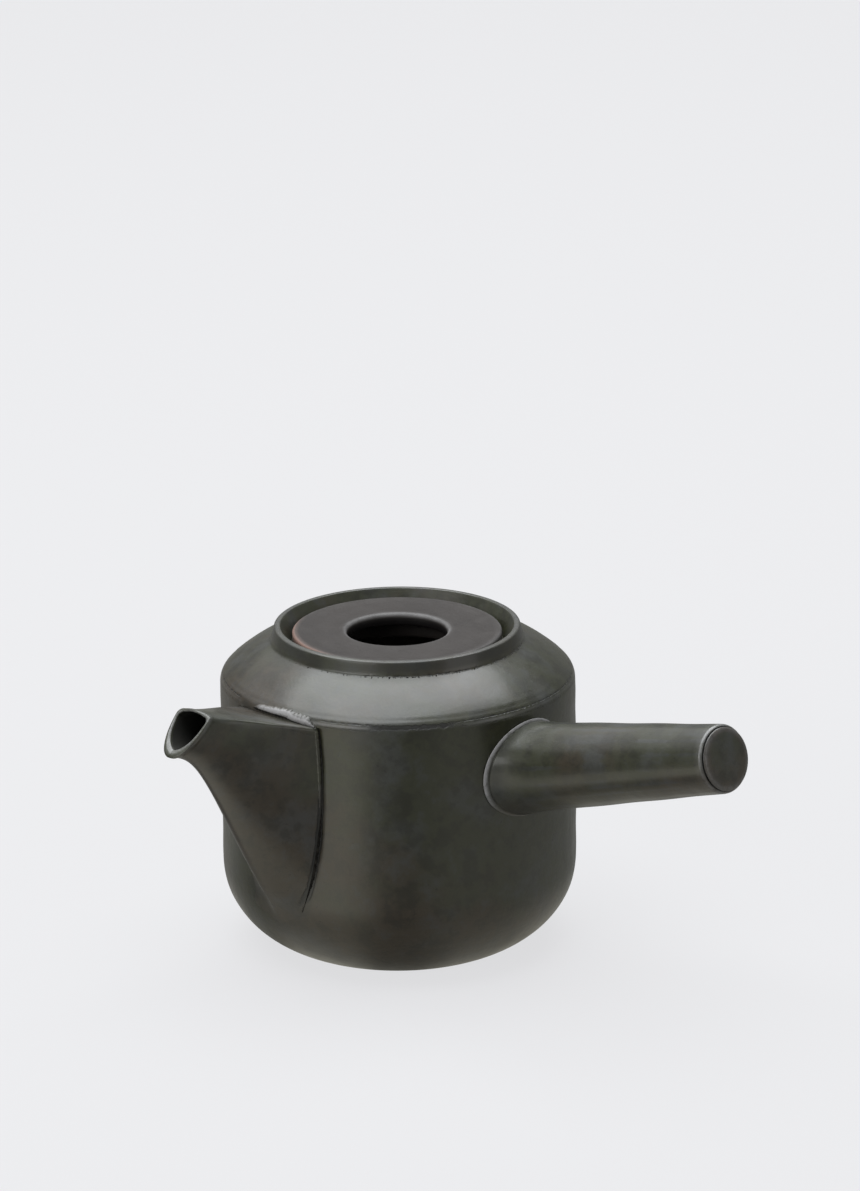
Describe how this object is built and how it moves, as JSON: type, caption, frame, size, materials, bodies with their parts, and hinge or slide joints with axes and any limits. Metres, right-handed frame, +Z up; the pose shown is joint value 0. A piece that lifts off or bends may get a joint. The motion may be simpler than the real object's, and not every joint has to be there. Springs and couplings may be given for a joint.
{
  "type": "side-handled teapot",
  "caption": "Squat stoneware kyusu with hollow side handle, folded V spout, sunk lid with a finger hole, and a lift-out strainer plate.",
  "frame": {"origin": "centre of the flat base", "axes": "+Z up, +X along the handle, -Y along the spout"},
  "size_m": [0.1845, 0.1473, 0.0968],
  "materials": {
    "pot_glaze": "satin dark green-grey stoneware glaze with brown clouds",
    "lid_glaze": "satin warm grey-brown glaze",
    "strainer_steel": "stainless wire mesh with a folded rim"
  },
  "bodies": {
    "pot": {"pot_body": "pot_glaze", "spout": "pot_glaze", "handle": "pot_glaze", "handle_end": "pot_glaze"},
    "lid": {"lid": "lid_glaze"},
    "strainer": {"strainer_mesh": "strainer_steel", "strainer_frame": "strainer_steel"}
  },
  "joints": [
    {"name": "lid_lift", "type": "slide", "parent": "pot", "child": "lid", "axis": [0, 0, 1], "range_m": [0, 0.06]},
    {"name": "strainer_slide", "type": "slide", "parent": "pot", "child": "strainer", "axis": [0, 0, 1], "range_m": [0, 0.012]}
  ]
}
